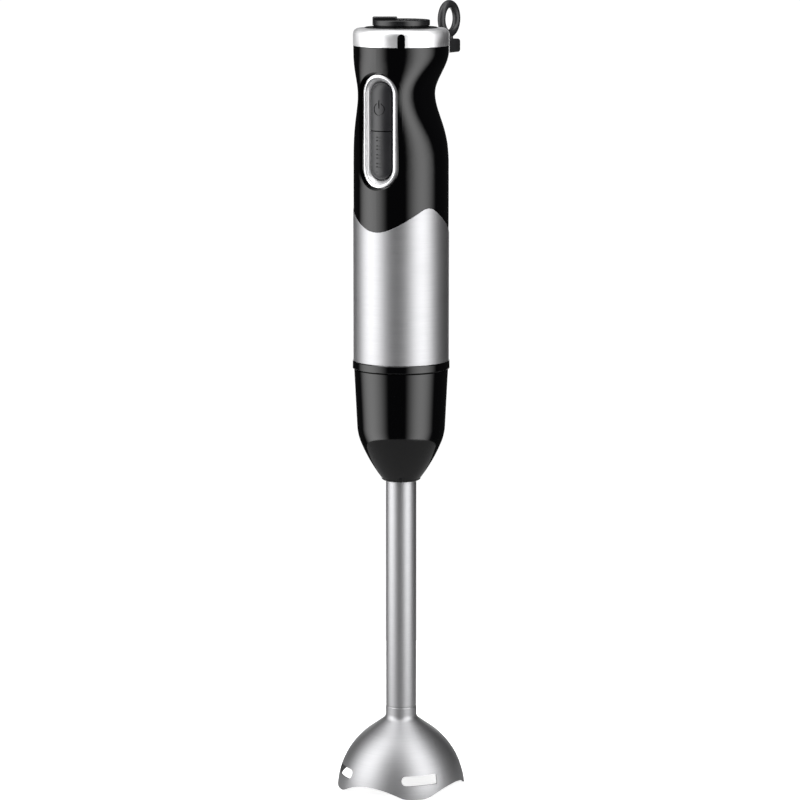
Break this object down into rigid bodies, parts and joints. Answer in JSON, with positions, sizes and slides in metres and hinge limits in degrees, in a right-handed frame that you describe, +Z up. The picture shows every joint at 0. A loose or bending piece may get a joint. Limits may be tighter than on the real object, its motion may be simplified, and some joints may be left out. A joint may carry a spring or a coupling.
{
  "type": "immersion blender",
  "caption": "Stick blender: motor handle with speed dial and two keys, and a twist-off leg with a steel tube and a bell guard over a spinning blade.",
  "frame": {"origin": "on the drive axis, in the plane of the bell's feet", "axes": "+Z up the drive axis towards the speed dial, -Y towards the buttons, +Y towards the cord gland"},
  "size_m": [0.0662, 0.0921, 0.4147],
  "materials": {
    "gloss_black": "polished black moulding",
    "brushed_steel": "brushed stainless",
    "chrome": "bright chrome plate",
    "satin_black": "satin black",
    "soft_charcoal": "soft-touch charcoal",
    "black_rubber": "matte rubber",
    "seal_rubber": "red-brown silicone",
    "white_plastic": "natural nylon",
    "circuit_board": "green board",
    "dark_component": "moulded component",
    "yellow_component": "capacitor case",
    "aluminium": "satin",
    "zinc_steel": "plated steel",
    "lamination": "varnished laminations",
    "copper": "enamelled copper",
    "bronze": "sintered bronze",
    "brass": "brass",
    "carbon": "carbon"
  },
  "bodies": {
    "handle": {"grip_housing": "gloss_black", "steel_sleeve": "brushed_steel", "lower_collar": "gloss_black", "chrome_top_ring": "chrome", "top_plate": "satin_black", "button_bezel": "chrome", "key_frame": "satin_black", "switch_board": "circuit_board", "power_switch": "dark_component", "boost_switch": "dark_component", "speed_control": "dark_component", "cord_gland": "black_rubber", "hanging_loop": "black_rubber", "cord_clamp": "white_plastic", "cord_clamp_screws": "zinc_steel", "chassis_front": "white_plastic", "chassis_rear": "white_plastic", "chassis_screws": "zinc_steel", "control_board": "circuit_board", "capacitor": "yellow_component", "triac": "dark_component", "heat_sink": "aluminium", "motor_shaft_seal": "seal_rubber", "lower_motor_bracket": "aluminium", "upper_motor_bracket": "aluminium", "lower_motor_bush": "bronze", "upper_motor_bush": "bronze", "lower_rubber_mount": "black_rubber", "upper_rubber_mount": "black_rubber", "motor_bolts": "zinc_steel", "stator": "lamination", "field_coils": "copper", "brush_holders": "brass", "carbon_brushes": "carbon", "brush_springs": "zinc_steel"},
    "rotor": {"motor_shaft": "zinc_steel", "armature_core": "lamination", "armature_winding": "copper", "commutator": "copper", "cooling_fan": "dark_component", "upper_drive_coupling": "white_plastic"},
    "dial": {"speed_dial": "satin_black", "dial_spindle": "zinc_steel"},
    "power_button": {"power_key": "soft_charcoal", "power_plunger": "white_plastic"},
    "boost_button": {"boost_key": "soft_charcoal", "boost_plunger": "white_plastic"},
    "seal_ring": {"leg_seal_ring": "seal_rubber"},
    "leg": {"leg_cone": "gloss_black", "shaft_tube": "brushed_steel", "bell_guard": "brushed_steel", "upper_shaft_bush": "bronze", "lower_bush_holder": "white_plastic", "lower_shaft_bush": "bronze", "blade_shaft_seal": "seal_rubber"},
    "blade_drive": {"drive_shaft": "zinc_steel", "lower_drive_coupling": "white_plastic", "blade": "brushed_steel", "blade_nut": "zinc_steel", "shaft_circlip": "zinc_steel"}
  },
  "joints": [
    {"name": "rotor_spin", "type": "hinge", "parent": "handle", "child": "rotor", "pos_m": [0, 0, 0.26], "axis": [0, 0, 1], "continuous": true},
    {"name": "speed_turn", "type": "hinge", "parent": "handle", "child": "dial", "pos_m": [0, 0, 0.404], "axis": [0, 0, 1], "range_deg": [-135, 135]},
    {"name": "power_press", "type": "slide", "parent": "handle", "child": "power_button", "axis": [0, 1, 0], "range_m": [0, 0.0015], "stiffness_N_per_m": 1500, "springref_m": -0.001},
    {"name": "boost_press", "type": "slide", "parent": "handle", "child": "boost_button", "axis": [0, 1, 0], "range_m": [0, 0.0015], "stiffness_N_per_m": 1500, "springref_m": -0.001},
    {"name": "leg_twist", "type": "hinge", "parent": "handle", "child": "seal_ring", "pos_m": [0, 0, 0.2234], "axis": [0, 0, 1], "range_deg": [0, 30]},
    {"name": "leg_pull_off", "type": "slide", "parent": "seal_ring", "child": "leg", "axis": [0, 0, -1], "range_m": [0, 0.03]},
    {"name": "blade_spin", "type": "hinge", "parent": "leg", "child": "blade_drive", "pos_m": [0, 0, 0.02], "axis": [0, 0, 1], "continuous": true}
  ],
  "couplings": [
    {"joint": "blade_spin", "follows": "rotor_spin", "ratio": 1}
  ]
}
